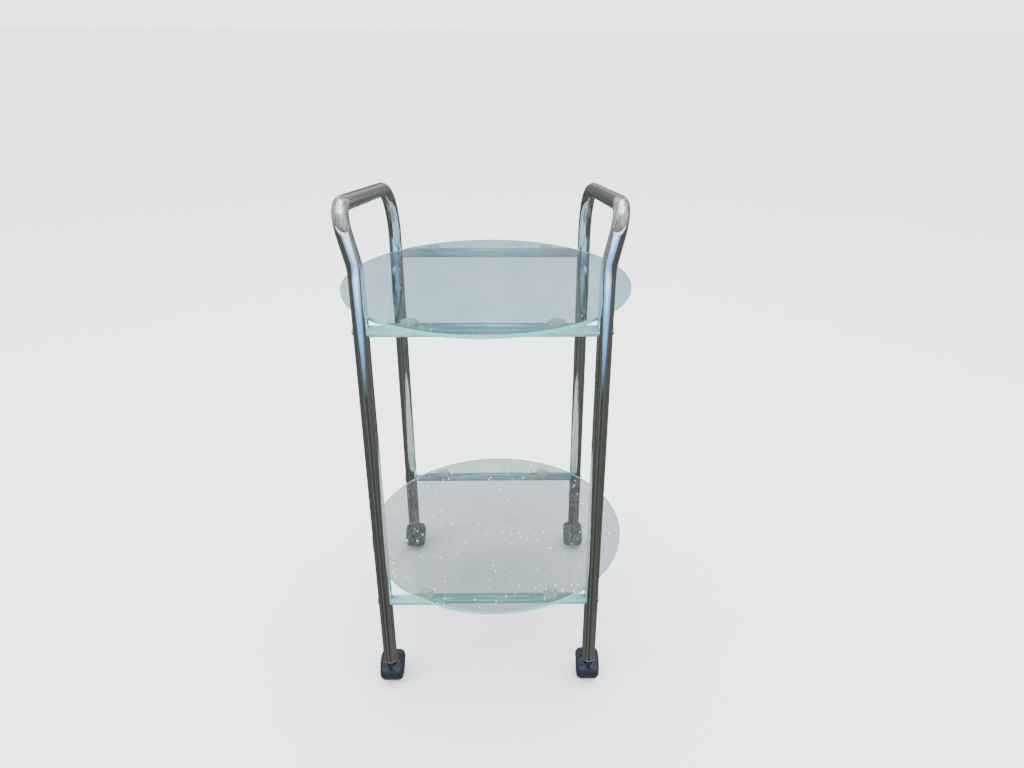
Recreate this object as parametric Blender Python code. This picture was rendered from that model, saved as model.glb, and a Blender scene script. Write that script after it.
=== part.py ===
"""Bar cart on wheels: two bent tube side frames, four cross rails, two round glass
shelves on clear pads, and four hooded twin-wheel casters. Metres, +Z up.

The origin is on the floor, under the middle of the four legs. X runs across the
cart along the rails, and -Y is the front.
"""

import math

import bmesh
import bpy
from mathutils import Matrix, Vector

# Tube frame
LEG_X = 0.1865              # half the spacing of the legs along the rails
LEG_Y = 0.1973              # half the spacing of the legs along the handles
TUBE_R = 0.0125
TUBE_BORE_R = 0.0110
LEG_END_Z = 0.058           # where the tube stops above the caster
KNEE_Z = 0.825              # the front leg starts to splay outwards here
FRONT_CORNER = (0.0185, -0.2065, 0.921)  # X outside the leg, then Y and Z of the sharp corner
REAR_CORNER_Z = 0.863
KNEE_R = 0.130
FRONT_BEND_R = 0.032
REAR_BEND_R = 0.120
TUBE_SIDES = 16

# Cross rails, with a threaded insert and a bolt at each end
RAIL_R = 0.0090
RAIL_BORE_R = 0.0078
RAIL_Z = {"lower": 0.1983, "upper": 0.7255}
RAIL_SIDES = 16
INSERT_R = 0.0074
INSERT_LENGTH = 0.022
BOLT_R = 0.0030
BOLT_HOLE_R = 0.0034
BOLT_HEAD_R = 0.0060
BOLT_HEAD_H = 0.0013
BOLT_REACH = 0.032          # how far the shank goes past the leg's axis into the rail

# Glass shelves, each loose on four pads
GLASS_R = 0.250
GLASS_T = 0.006
GLASS_CHAMFER = 0.0008
GLASS_LIFT = 0.0130         # underside of the glass above the rail's axis
GLASS_SHIFT = {"lower": (0.011, 0.0), "upper": (0.0, -0.009)}
PAD_X = 0.112
PAD_R = 0.0140
PAD_SPIGOT_R = 0.0022
PAD_SPIGOT_DEPTH = 0.005
PAD_HOLE_R = 0.0026

# Casters
WHEEL_R = 0.025             # to the flats of the wheel's faceted rim
WHEEL_SIDES = 24
WHEEL_INNER_X = 0.0073
WHEEL_OUTER_X = 0.0206
WHEEL_SHOULDER = (0.0080, 0.0065)   # how far the rounding of the outer edge reaches in and down
DISH_RIM_R = 0.0168          # the hollow in the wheel's outer face
DISH_R = 0.0153
DISH_DEPTH = 0.0012
CASTER_TRAIL = 0.016        # axle behind the swivel axis
HOOD_R = 0.0285
HOOD_BORE_R = 0.0267
HOOD_HALF_WIDTH = 0.0215
HOOD_SHOULDER = (0.0105, 0.0085)    # the same for the hood's side edges
HOOD_FRONT_DEG = -32        # lower edge of the hood's front, as seen from the axle
HOOD_REAR_DEG = 188
WEB_HALF_WIDTH = 0.0065      # the web between the wheels
WEB_FOOT_Y = 0.008
WEB_FOOT_DROP = 0.010
BOSS_R = 0.0061
BOSS_FOOT_Z = 0.024
NECK_R = 0.0085
NECK_FOOT_Z = 0.0512
NECK_TOP_Z = 0.0541
NOTCH_HALF_WIDTH = 0.0118
NOTCH_FOOT_Z = 0.0352
NOTCH_BACK_Y = 0.0013        # behind the swivel axis
AXLE_R = 0.0025
AXLE_HALF_LENGTH = 0.0172
AXLE_BORE_R = 0.0026
STEM_R = 0.0040
STEM_COLLAR_R = 0.0085
STEM_FOOT_Z = 0.034
STEM_TOP_Z = 0.092
STEM_TIP = 0.0015
STEM_BORE_R = 0.0041
SOCKET_R = 0.0107
SOCKET_FLANGE_R = 0.0123
SOCKET_FLANGE_H = 0.0010
SOCKET_TOP_Z = 0.096
TOUCH = 0.0003              # gap kept between pieces that touch

SIDES = {"left": -1, "right": 1}
ENDS = {"front": -1, "rear": 1}


def clear_scene():
    for obj in list(bpy.data.objects):
        bpy.data.objects.remove(obj, do_unlink=True)


def make_material(name, colour, roughness, metallic=0.0, alpha=1.0, transmission=0.0):
    material = bpy.data.materials.new(name)
    material.use_nodes = True
    shader = material.node_tree.nodes["Principled BSDF"]
    shader.inputs["Base Color"].default_value = (*colour, 1.0)
    shader.inputs["Roughness"].default_value = roughness
    shader.inputs["Metallic"].default_value = metallic
    shader.inputs["Alpha"].default_value = alpha
    shader.inputs["Transmission Weight"].default_value = transmission
    material.diffuse_color = (*colour, alpha)
    return material


def add_object(name, mesh_data, material, location=(0, 0, 0), parent=None):
    """Link a finished bmesh or a shared mesh into the scene as one named piece."""
    if isinstance(mesh_data, bmesh.types.BMesh):
        mesh = bpy.data.meshes.new(name)
        bmesh.ops.recalc_face_normals(mesh_data, faces=mesh_data.faces)
        mesh_data.to_mesh(mesh)
        mesh_data.free()
        mesh.shade_smooth()
        mesh.set_sharp_from_angle(angle=math.radians(32))
    else:
        mesh = mesh_data
    if not mesh.materials:
        mesh.materials.append(material)
    obj = bpy.data.objects.new(name, mesh)
    obj.location = location
    obj.parent = parent
    bpy.context.scene.collection.objects.link(obj)
    return obj


def add_cutter(name, mesh_data, location=(0, 0, 0), parent=None):
    cutter = add_object(name, mesh_data, cutter_material, location, parent)
    cutter.hide_render = True
    cutter.display_type = "WIRE"
    return cutter


def combine(obj, other, operation="DIFFERENCE"):
    modifier = obj.modifiers.new(other.name, "BOOLEAN")
    modifier.operation = operation
    modifier.object = other
    modifier.solver = "EXACT"


def turned(profile, sides, axis="Z", half_step=False):
    """Turn an outline of (radius, height) points about an axis into a closed body.

    The outline is a closed loop, or starts and ends on the axis at radius 0. A half step
    turns the facets so that one of them, and not a corner, faces each of +X and -X.
    """
    bm = bmesh.new()
    start = 0.5 if half_step else 0.0
    rings = []
    for radius, height in profile:
        if radius == 0:
            rings.append([bm.verts.new((0, 0, height))])
            continue
        ring = []
        for step in range(sides):
            angle = math.tau * (step + start) / sides
            ring.append(bm.verts.new((radius * math.cos(angle), radius * math.sin(angle), height)))
        rings.append(ring)
    solid = profile[0][0] == 0
    pairs = list(zip(rings, rings[1:]))
    if not solid:
        pairs.append((rings[-1], rings[0]))
    for lower, upper in pairs:
        for step in range(sides):
            corners = []
            for vertex in (
                lower[step % len(lower)],
                lower[(step + 1) % len(lower)],
                upper[(step + 1) % len(upper)],
                upper[step % len(upper)],
            ):
                if vertex not in corners:
                    corners.append(vertex)
            bm.faces.new(corners)
    if axis == "X":
        bm.transform(Matrix.Rotation(math.pi / 2, 4, "Y"))
    return bm


def rounded_path(corners, radii, degrees_per_step=9):
    """Straight runs joined by arcs: radii holds one bend radius for each inner corner."""
    points = [Vector(corners[0])]
    for before, corner, after, radius in zip(corners, corners[1:], corners[2:], radii):
        corner = Vector(corner)
        back = (Vector(before) - corner).normalized()
        ahead = (Vector(after) - corner).normalized()
        turn = math.pi - back.angle(ahead)
        tangent = radius * math.tan(turn / 2)
        centre = corner + (back + ahead).normalized() * (radius / math.cos(turn / 2))
        spoke = corner + back * tangent - centre
        axis = back.cross(ahead).normalized()
        steps = max(2, round(math.degrees(turn) / degrees_per_step))
        for step in range(steps + 1):
            points.append(centre + Matrix.Rotation(-turn * step / steps, 3, axis) @ spoke)
    points.append(Vector(corners[-1]))
    return points


def bent_tube(points, outer_r, bore_r, sides):
    """A hollow tube, open at both ends, whose rings stay square to the path."""
    bm = bmesh.new()
    first = (points[1] - points[0]).normalized()
    across = first.orthogonal().normalized()
    direction = first
    outer_rings = []
    bore_rings = []
    for index, point in enumerate(points):
        before = points[max(index - 1, 0)]
        after = points[min(index + 1, len(points) - 1)]
        tangent = (after - before).normalized()
        across.rotate(direction.rotation_difference(tangent))
        direction = tangent
        other = tangent.cross(across)
        for radius, rings in ((outer_r, outer_rings), (bore_r, bore_rings)):
            ring = []
            for step in range(sides):
                angle = math.tau * (step + 0.5) / sides
                offset = across * (radius * math.cos(angle)) + other * (radius * math.sin(angle))
                ring.append(bm.verts.new(point + offset))
            rings.append(ring)
    loops = list(zip(outer_rings, outer_rings[1:]))
    loops += list(zip(bore_rings, bore_rings[1:]))
    loops += [(outer_rings[0], bore_rings[0]), (outer_rings[-1], bore_rings[-1])]
    for ring, following in loops:
        for step in range(sides):
            onward = (step + 1) % sides
            bm.faces.new((ring[step], ring[onward], following[onward], following[step]))
    return bm


def rod(radius, start, end, sides=12, axis="Z", half_step=False):
    """A plain round bar between two heights along its axis."""
    profile = [(0, start), (radius, start), (radius, end), (0, end)]
    return turned(profile, sides, axis, half_step)


def side_frame(side, sign):
    """One tube: up the front leg, over the handle and down the rear leg."""
    outward, corner_y, corner_z = FRONT_CORNER
    corners = [
        (sign * LEG_X, -LEG_Y, LEG_END_Z),
        (sign * LEG_X, -LEG_Y, KNEE_Z),
        (sign * (LEG_X + outward), corner_y, corner_z),
        (sign * LEG_X, LEG_Y, REAR_CORNER_Z),
        (sign * LEG_X, LEG_Y, LEG_END_Z),
    ]
    path = rounded_path(corners, (KNEE_R, FRONT_BEND_R, REAR_BEND_R))
    frame = add_object(
        f"{side}_side_frame", bent_tube(path, TUBE_R, TUBE_BORE_R, TUBE_SIDES), chrome
    )
    for level, height in RAIL_Z.items():
        for end, end_sign in ENDS.items():
            hole = rod(BOLT_HOLE_R, -2 * TUBE_R, 2 * TUBE_R, 8, "X")
            place = (sign * LEG_X, end_sign * LEG_Y, height)
            combine(frame, add_cutter(f"cut_{side}_{level}_{end}_bolt", hole, place))


def cross_rail(level, end, end_sign):
    """A straight tube, its ends hollowed to sit on the legs, drilled on top for two pads."""
    height = RAIL_Z[level]
    half = LEG_X
    profile = [(RAIL_R, -half), (RAIL_R, half), (RAIL_BORE_R, half), (RAIL_BORE_R, -half)]
    place = (0, end_sign * LEG_Y, height)
    rail = add_object(f"{level}_{end}_rail", turned(profile, RAIL_SIDES, "X", True), chrome, place)
    for side, sign in SIDES.items():
        saddle = rod(TUBE_R + TOUCH, -2 * RAIL_R, 2 * RAIL_R, 24)
        where = (sign * LEG_X, end_sign * LEG_Y, height)
        combine(rail, add_cutter(f"cut_{level}_{end}_{side}_saddle", saddle, where))
        pad_hole = rod(PAD_HOLE_R, 0, 2 * RAIL_R, 8)
        where = (sign * PAD_X, end_sign * LEG_Y, height)
        combine(rail, add_cutter(f"cut_{level}_{end}_{side}_pad", pad_hole, where))


def rail_fastening(level, end, end_sign, side, sign):
    """A threaded insert inside the rail's end, and the bolt that draws the leg against it."""
    where = (sign * LEG_X, end_sign * LEG_Y, RAIL_Z[level])
    start = TUBE_R + 0.004
    insert = turned(
        [
            (BOLT_HOLE_R, start),
            (INSERT_R, start),
            (INSERT_R, start + INSERT_LENGTH),
            (BOLT_HOLE_R, start + INSERT_LENGTH),
        ],
        12,
        "X",
        True,
    )
    if sign > 0:
        bmesh.ops.rotate(insert, matrix=Matrix.Rotation(math.pi, 3, "Z"), verts=insert.verts)
    add_object(f"{level}_{end}_{side}_rail_insert", insert, zinc, where)

    seat = -TUBE_R - TOUCH
    bolt = turned(
        [
            (0, seat - BOLT_HEAD_H),
            (BOLT_HEAD_R * 0.55, seat - BOLT_HEAD_H),
            (BOLT_HEAD_R, seat - BOLT_HEAD_H * 0.4),
            (BOLT_HEAD_R, seat),
            (BOLT_R, seat),
            (BOLT_R, BOLT_REACH),
            (0, BOLT_REACH),
        ],
        12,
        "X",
    )
    if sign > 0:
        bmesh.ops.rotate(bolt, matrix=Matrix.Rotation(math.pi, 3, "Z"), verts=bolt.verts)
    add_object(f"{level}_{end}_{side}_rail_bolt", bolt, zinc, where)


def glass_shelf(level):
    """A round glass plate with ground edges, lying loose on its pads."""
    shift_x, shift_y = GLASS_SHIFT[level]
    chamfer = GLASS_CHAMFER
    profile = [
        (0, 0),
        (GLASS_R - chamfer, 0),
        (GLASS_R, chamfer),
        (GLASS_R, GLASS_T - chamfer),
        (GLASS_R - chamfer, GLASS_T),
        (0, GLASS_T),
    ]
    place = (shift_x, shift_y, RAIL_Z[level] + GLASS_LIFT)
    add_object(f"{level}_glass_shelf", turned(profile, 64), glass, place)


def shelf_pad(level, end, end_sign, side, sign):
    """A clear disc on the rail's crest, held by a spigot in the rail's hole."""
    bottom = RAIL_R + TOUCH
    top = GLASS_LIFT - TOUCH
    profile = [
        (0, bottom - PAD_SPIGOT_DEPTH),
        (PAD_SPIGOT_R, bottom - PAD_SPIGOT_DEPTH),
        (PAD_SPIGOT_R, bottom),
        (PAD_R - 0.001, bottom),
        (PAD_R, (bottom + top) / 2),
        (PAD_R - 0.0015, top),
        (0, top),
    ]
    where = (sign * PAD_X, end_sign * LEG_Y, RAIL_Z[level])
    add_object(f"{level}_{end}_{side}_pad", turned(profile, 12), clear_vinyl, where)


def shoulder(radius, half_width, rounding):
    """The (radius, height) points of a rim whose outer edge is a quarter of an ellipse."""
    inward, downward = rounding
    points = []
    for degrees in (0, 45, 90):
        angle = math.radians(degrees)
        drop = downward * (1 - math.cos(angle))
        points.append((radius - drop, half_width - inward * (1 - math.sin(angle))))
    return points


def hood_block():
    """The hood before its wheel wells are cut: a barrel over the axle, closed below by the web."""
    steps = 18
    span = math.radians(HOOD_REAR_DEG - HOOD_FRONT_DEG)
    edge = shoulder(HOOD_R, HOOD_HALF_WIDTH, HOOD_SHOULDER)
    stations = [(radius, -x) for radius, x in reversed(edge)] + edge
    bm = bmesh.new()
    sections = []
    for radius, x in stations:
        section = []
        for step in range(steps + 1):
            angle = math.radians(HOOD_FRONT_DEG) + span * step / steps
            section.append(bm.verts.new((x, -radius * math.cos(angle), radius * math.sin(angle))))
        for y in (WEB_FOOT_Y, -WEB_FOOT_Y):
            section.append(bm.verts.new((x, y, -WEB_FOOT_DROP)))
        sections.append(section)
    for section, following in zip(sections, sections[1:]):
        for index in range(len(section)):
            corners = (section[index - 1], section[index], following[index], following[index - 1])
            bm.faces.new(corners)
    bm.faces.new(sections[0])
    bm.faces.new(sections[-1])
    bmesh.ops.triangulate(bm, faces=bm.faces)
    return bm


def wheel_well(sign):
    """The room for one wheel, following the hood's rounded edge at an even wall thickness."""
    edge = shoulder(HOOD_BORE_R, HOOD_HALF_WIDTH, HOOD_SHOULDER)
    narrow_r = edge[-1][0]
    outside = 2 * HOOD_HALF_WIDTH
    profile = [(0, WEB_HALF_WIDTH), (HOOD_BORE_R, WEB_HALF_WIDTH)]
    profile += [*edge, (narrow_r, outside), (0, outside)]
    well = turned(profile, 36, "X")
    if sign < 0:
        bmesh.ops.rotate(well, matrix=Matrix.Rotation(math.pi, 3, "Z"), verts=well.verts)
    return well


def notch_prism():
    """A V, wide at the neck and pointed below it, that opens the hood's front to the boss."""
    bm = bmesh.new()
    front = CASTER_TRAIL - 2 * HOOD_R
    corners = [
        (-NOTCH_HALF_WIDTH, NECK_TOP_Z),
        (0, NOTCH_FOOT_Z),
        (NOTCH_HALF_WIDTH, NECK_TOP_Z),
    ]
    face = bm.faces.new([bm.verts.new((x, front, z)) for x, z in corners])
    grown = bmesh.ops.extrude_face_region(bm, geom=[face])
    moved = [item for item in grown["geom"] if isinstance(item, bmesh.types.BMVert)]
    bmesh.ops.translate(bm, verts=moved, vec=(0, NOTCH_BACK_Y - front, 0))
    return bm


def caster_hood(corner, swivel, axle_place):
    """One moulding: hood over both wheels, web between them, and the boss for the stem."""
    name = f"{corner}_caster_hood"
    hood = add_object(name, hood_block(), slate_plastic, axle_place, swivel)
    for side, sign in SIDES.items():
        well = add_cutter(f"cut_{corner}_{side}_well", wheel_well(sign), axle_place, swivel)
        combine(hood, well)
    combine(hood, add_cutter(f"cut_{corner}_notch", notch_prism(), parent=swivel))
    boss = turned(
        [
            (0, BOSS_FOOT_Z),
            (BOSS_R, BOSS_FOOT_Z),
            (BOSS_R, NECK_FOOT_Z),
            (NECK_R, NECK_FOOT_Z),
            (NECK_R, NECK_TOP_Z),
            (0, NECK_TOP_Z),
        ],
        20,
        half_step=True,
    )
    combine(hood, add_cutter(f"join_{corner}_boss", boss, parent=swivel), "UNION")
    stem_bore = rod(STEM_BORE_R, STEM_FOOT_Z - TOUCH, 2 * NECK_TOP_Z, 16, half_step=True)
    combine(hood, add_cutter(f"cut_{corner}_stem", stem_bore, parent=swivel))
    axle_bore = rod(AXLE_BORE_R, -HOOD_HALF_WIDTH, HOOD_HALF_WIDTH, 12, "X")
    combine(hood, add_cutter(f"cut_{corner}_axle", axle_bore, axle_place, swivel))


def caster(corner, sign, end_sign):
    """A swivelling hood on its stem, with two wheels on one axle behind it."""
    swivel = bpy.data.objects.new(f"{corner}_swivel_axis", None)
    swivel.location = (sign * LEG_X, end_sign * LEG_Y, 0)
    bpy.context.scene.collection.objects.link(swivel)
    axle_place = (0, CASTER_TRAIL, WHEEL_R)

    flange_top = LEG_END_Z - TOUCH
    flange_foot = flange_top - SOCKET_FLANGE_H
    socket = turned(
        [
            (STEM_BORE_R, flange_foot),
            (SOCKET_FLANGE_R, flange_foot),
            (SOCKET_FLANGE_R, flange_top),
            (SOCKET_R, flange_top),
            (SOCKET_R, SOCKET_TOP_Z),
            (STEM_BORE_R, SOCKET_TOP_Z),
        ],
        16,
    )
    add_object(f"{corner}_caster_socket", socket, zinc, parent=swivel)

    collar_foot = NECK_TOP_Z + TOUCH
    collar_top = flange_foot - TOUCH
    stem = turned(
        [
            (0, STEM_FOOT_Z),
            (STEM_R, STEM_FOOT_Z),
            (STEM_R, collar_foot),
            (STEM_COLLAR_R, collar_foot),
            (STEM_COLLAR_R, collar_top),
            (STEM_R, collar_top),
            (STEM_R, STEM_TOP_Z - STEM_TIP),
            (STEM_R - STEM_TIP, STEM_TOP_Z),
            (0, STEM_TOP_Z),
        ],
        16,
    )
    add_object(f"{corner}_caster_stem", stem, zinc, parent=swivel)

    caster_hood(corner, swivel, axle_place)
    axle = rod(AXLE_R, -AXLE_HALF_LENGTH, AXLE_HALF_LENGTH, 12, "X")
    add_object(f"{corner}_caster_axle", axle, zinc, axle_place, swivel)
    for side, side_sign in SIDES.items():
        name = f"{corner}_{side}_wheel"
        wheel = add_object(name, caster_wheel(), slate_plastic, axle_place, swivel)
        if side_sign < 0:
            wheel.rotation_euler = (0, 0, math.pi)


def caster_wheel():
    """A solid moulded wheel with a blind axle bore on its inner side and a dished face."""
    rim_r = WHEEL_R / math.cos(math.pi / WHEEL_SIDES)
    profile = [
        (0, AXLE_HALF_LENGTH + TOUCH),
        (AXLE_BORE_R, AXLE_HALF_LENGTH + TOUCH),
        (AXLE_BORE_R, WHEEL_INNER_X),
        (rim_r - 0.0020, WHEEL_INNER_X),
        (rim_r, WHEEL_INNER_X + 0.0025),
        *shoulder(rim_r, WHEEL_OUTER_X, WHEEL_SHOULDER),
        (DISH_RIM_R, WHEEL_OUTER_X),
        (DISH_R, WHEEL_OUTER_X - DISH_DEPTH),
        (0, WHEEL_OUTER_X - DISH_DEPTH),
    ]
    return turned(profile, WHEEL_SIDES, "X", True)


clear_scene()
chrome = make_material("polished_chrome", (0.62, 0.66, 0.68), 0.08, 1.0)
zinc = make_material("zinc_plate", (0.58, 0.59, 0.60), 0.30, 1.0)
glass = make_material("clear_glass", (0.72, 0.86, 0.85), 0.02, 0.0, 0.35, 0.9)
clear_vinyl = make_material("clear_vinyl", (0.80, 0.84, 0.80), 0.25, 0.0, 0.6, 0.5)
slate_plastic = make_material("slate_plastic", (0.055, 0.070, 0.088), 0.35)
cutter_material = make_material("cutter", (1.0, 0.3, 0.1), 0.5)

for side, sign in SIDES.items():
    side_frame(side, sign)
for level in RAIL_Z:
    glass_shelf(level)
    for end, end_sign in ENDS.items():
        cross_rail(level, end, end_sign)
        for side, sign in SIDES.items():
            rail_fastening(level, end, end_sign, side, sign)
            shelf_pad(level, end, end_sign, side, sign)
for end, end_sign in ENDS.items():
    for side, sign in SIDES.items():
        caster(f"{end}_{side}", sign, end_sign)
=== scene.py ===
"""The finished look of the bar cart: two bent chrome tube sides, four chrome rails,
two loose glass shelves on clear pads, and four hooded twin-wheel casters."""

import math

import bmesh
import bpy
from mathutils import Matrix, Vector


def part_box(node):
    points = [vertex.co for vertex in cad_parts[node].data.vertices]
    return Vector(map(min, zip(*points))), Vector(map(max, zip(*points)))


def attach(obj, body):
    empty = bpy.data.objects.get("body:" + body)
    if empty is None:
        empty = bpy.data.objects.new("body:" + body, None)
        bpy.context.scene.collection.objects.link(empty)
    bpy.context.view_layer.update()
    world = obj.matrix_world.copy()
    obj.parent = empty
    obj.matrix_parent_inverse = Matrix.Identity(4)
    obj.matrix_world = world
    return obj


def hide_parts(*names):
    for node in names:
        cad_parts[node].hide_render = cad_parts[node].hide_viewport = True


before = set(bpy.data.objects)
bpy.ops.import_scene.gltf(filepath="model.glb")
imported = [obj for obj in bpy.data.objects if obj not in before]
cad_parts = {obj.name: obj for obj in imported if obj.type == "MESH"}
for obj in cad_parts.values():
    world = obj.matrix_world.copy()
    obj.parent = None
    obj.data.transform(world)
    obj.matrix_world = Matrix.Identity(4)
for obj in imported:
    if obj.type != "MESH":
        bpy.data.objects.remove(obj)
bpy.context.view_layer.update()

# Side frames. Each is one 25 mm steel tube with a 1.5 mm wall, bent cold on round dies: up
# the front leg, splayed out at a knee, over the sloping handle and down the rear leg. It is
# polished and chrome plated after bending; the plate is hazy and pitted towards the floor.
TUBE_R = 0.0125
TUBE_BORE_R = 0.0110
TUBE_LIP = 0.0003
TUBE_SIDES = 64
BEND_STEP_DEG = 2
KNEE_Z = 0.825
KNEE_R = 0.130
FRONT_SPLAY = 0.0185
FRONT_CORNER_Y = -0.2065
FRONT_CORNER_Z = 0.921
FRONT_BEND_R = 0.032
REAR_CORNER_Z = 0.863
REAR_BEND_R = 0.120
BOLT_HOLE_R = 0.0034
LEVELS = ("lower", "upper")
ENDS = ("front", "rear")
SIDES = {"left": -1, "right": 1}


class Signal:
    """One output of a material's nodes. Arithmetic on it adds Math nodes."""

    def __init__(self, finish, socket):
        self.finish = finish
        self.socket = socket

    def maths(self, operation, first, second):
        return self.finish.node("Math", {"operation": operation}, {0: first, 1: second})

    def __add__(self, other):
        return self.maths("ADD", self, other)

    def __sub__(self, other):
        return self.maths("SUBTRACT", self, other)

    def __rsub__(self, other):
        return self.maths("SUBTRACT", other, self)

    def __mul__(self, other):
        return self.maths("MULTIPLY", self, other)

    __radd__ = __add__
    __rmul__ = __mul__


class Finish:
    """A material on one Principled shader. Constant values go straight on its sockets."""

    def __init__(self, name, **constants):
        self.material = bpy.data.materials.new(name)
        self.material.use_nodes = True
        self.tree = self.material.node_tree
        self.shader = self.tree.nodes["Principled BSDF"]
        for socket, value in constants.items():
            self.shader.inputs[socket.replace("_", " ")].default_value = value

    def feed(self, socket, value):
        if isinstance(value, Signal):
            self.tree.links.new(value.socket, socket)
        else:
            socket.default_value = value

    def node(self, kind, settings=None, sockets=None, output=0):
        """Any node: its type, its settings, then the values or links of its sockets."""
        node = self.tree.nodes.new("ShaderNode" + kind)
        for name, value in (settings or {}).items():
            if name != "stops":
                setattr(node, name, value)
                continue
            elements = node.color_ramp.elements
            while len(elements) < len(value):
                elements.new(0.5)
            for element, (position, shade) in zip(elements, value):
                element.position = position
                element.color = (shade, shade, shade, 1)
        for name, value in (sockets or {}).items():
            self.feed(node.inputs[name], value)
        return Signal(self, node.outputs[output])

    def place(self, scale=(1, 1, 1), attribute=None):
        """Where a point is: in the piece's own frame, or in a stored attribute of its mesh."""
        if attribute:
            where = self.node("Attribute", {"attribute_name": attribute}, output="Vector")
        else:
            where = self.node("TexCoord", output="Object")
        return self.node("Mapping", {}, {"Vector": where, "Scale": scale})

    def noise(self, where, scale, detail=3.0, roughness=0.55):
        sockets = {"Vector": where, "Scale": scale, "Detail": detail, "Roughness": roughness}
        return self.node("TexNoise", {}, sockets)

    def ramp(self, value, *stops):
        return self.node("ValToRGB", {"stops": stops}, {"Fac": value})

    def blend(self, share, first, second):
        sockets = {0: share, 6: first, 7: second}
        return self.node("Mix", {"data_type": "RGBA"}, sockets, output=2)

    def show(self, **links):
        for socket, value in links.items():
            self.feed(self.shader.inputs[socket.replace("_", " ")], value)

    def bump(self, height, distance, strength=1.0):
        sockets = {"Height": height, "Distance": distance, "Strength": strength}
        self.show(Normal=self.node("Bump", {}, sockets))

    def overlay(self, mask, **constants):
        """A second plain shader laid over the first where the mask says."""
        names = {name.replace("_", " "): value for name, value in constants.items()}
        cover = self.node("BsdfPrincipled", {}, names)
        surface = Signal(self, self.shader.outputs[0])
        mixed = self.node("MixShader", {}, {0: mask, 1: surface, 2: cover})
        self.feed(self.tree.nodes["Material Output"].inputs["Surface"], mixed)


def rounded_path(corners, radii, step_degrees):
    """Straight runs joined by arcs: radii holds one bend radius for each inner corner."""
    points = [Vector(corners[0])]
    for before, corner, after, radius in zip(corners, corners[1:], corners[2:], radii):
        corner = Vector(corner)
        back = (Vector(before) - corner).normalized()
        ahead = (Vector(after) - corner).normalized()
        turn = math.pi - back.angle(ahead)
        centre = corner + (back + ahead).normalized() * (radius / math.cos(turn / 2))
        spoke = corner + back * (radius * math.tan(turn / 2)) - centre
        axis = back.cross(ahead).normalized()
        steps = max(3, round(math.degrees(turn) / step_degrees))
        for step in range(steps + 1):
            points.append(centre + Matrix.Rotation(-turn * step / steps, 3, axis) @ spoke)
    points.append(Vector(corners[-1]))
    return points


def hollow_tube(points, outer_r, bore_r, sides, lip):
    """A tube with slightly broken edges at its two open ends. Each point also stores where
    it would be on the straight tube before bending, so that marks can run along it."""
    start = (points[1] - points[0]).normalized()
    finish = (points[-1] - points[-2]).normalized()
    stations = [points[0], points[0] + start * lip, *points[1:-1]]
    stations += [points[-1] - finish * lip, points[-1]]
    lengths = [0.0]
    for before, after in zip(stations, stations[1:]):
        lengths.append(lengths[-1] + (after - before).length)
    bm = bmesh.new()
    straight = bm.verts.layers.float_vector.new("straight")
    direction = start
    across = start.orthogonal().normalized()
    rings = {outer_r: [], bore_r: []}
    for index, station in enumerate(stations):
        before = stations[max(index - 1, 0)]
        after = stations[min(index + 1, len(stations) - 1)]
        tangent = (after - before).normalized()
        across.rotate(direction.rotation_difference(tangent))
        direction = tangent
        other = tangent.cross(across)
        at_end = index in (0, len(stations) - 1)
        for radius in (outer_r, bore_r):
            edge = lip if radius == outer_r else -lip
            reach = radius - edge if at_end else radius
            ring = []
            for side in range(sides):
                angle = math.tau * side / sides
                u = reach * math.cos(angle)
                v = reach * math.sin(angle)
                vertex = bm.verts.new(station + across * u + other * v)
                vertex[straight] = (u, v, lengths[index])
                ring.append(vertex)
            rings[radius].append(ring)
    outer = rings[outer_r]
    bore = rings[bore_r]
    pairs = [*zip(outer, outer[1:]), *zip(bore, bore[1:]), (outer[0], bore[0]), (outer[-1], bore[-1])]
    for ring, following in pairs:
        for side in range(sides):
            onward = (side + 1) % sides
            bm.faces.new((ring[side], ring[onward], following[onward], following[side]))
    return bm


def turned(profile, sides, axis="Z", marked=()):
    """An outline of (radius, height) points turned about an axis. It is a closed loop, or
    starts and ends at radius 0. Bands listed in marked take the piece's second material."""
    bm = bmesh.new()
    rings = []
    for radius, height in profile:
        if radius == 0:
            rings.append([bm.verts.new((0, 0, height))])
            continue
        ring = []
        for side in range(sides):
            angle = math.tau * (side + 0.5) / sides
            ring.append(bm.verts.new((radius * math.cos(angle), radius * math.sin(angle), height)))
        rings.append(ring)
    pairs = list(zip(rings, rings[1:]))
    if profile[0][0]:
        pairs.append((rings[-1], rings[0]))
    for band, (lower, upper) in enumerate(pairs):
        for side in range(sides):
            onward = side + 1
            loop = [lower[side % len(lower)], lower[onward % len(lower)]]
            loop += [upper[onward % len(upper)], upper[side % len(upper)]]
            corners = list(dict.fromkeys(loop))
            bm.faces.new(corners).material_index = int(band in marked)
    if axis == "X":
        bm.transform(Matrix.Rotation(math.pi / 2, 4, "Y"))
    return bm


def rod(radius, start, end, sides, axis="Z"):
    """A plain round bar between two heights, used as a drill or a shank."""
    return turned([(0, start), (radius, start), (radius, end), (0, end)], sides, axis)


def piece(name, bm, materials, place=(0, 0, 0), sharp_degrees=35):
    """A finished mesh as an object of its own, in place in the cart's frame."""
    bmesh.ops.recalc_face_normals(bm, faces=bm.faces)
    bm.transform(Matrix.Translation(place))
    mesh = bpy.data.meshes.new(name)
    bm.to_mesh(mesh)
    bm.free()
    mesh.shade_smooth()
    mesh.set_sharp_from_angle(angle=math.radians(sharp_degrees))
    for material in materials:
        mesh.materials.append(material)
    obj = bpy.data.objects.new(name, mesh)
    bpy.context.scene.collection.objects.link(obj)
    return obj


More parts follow.
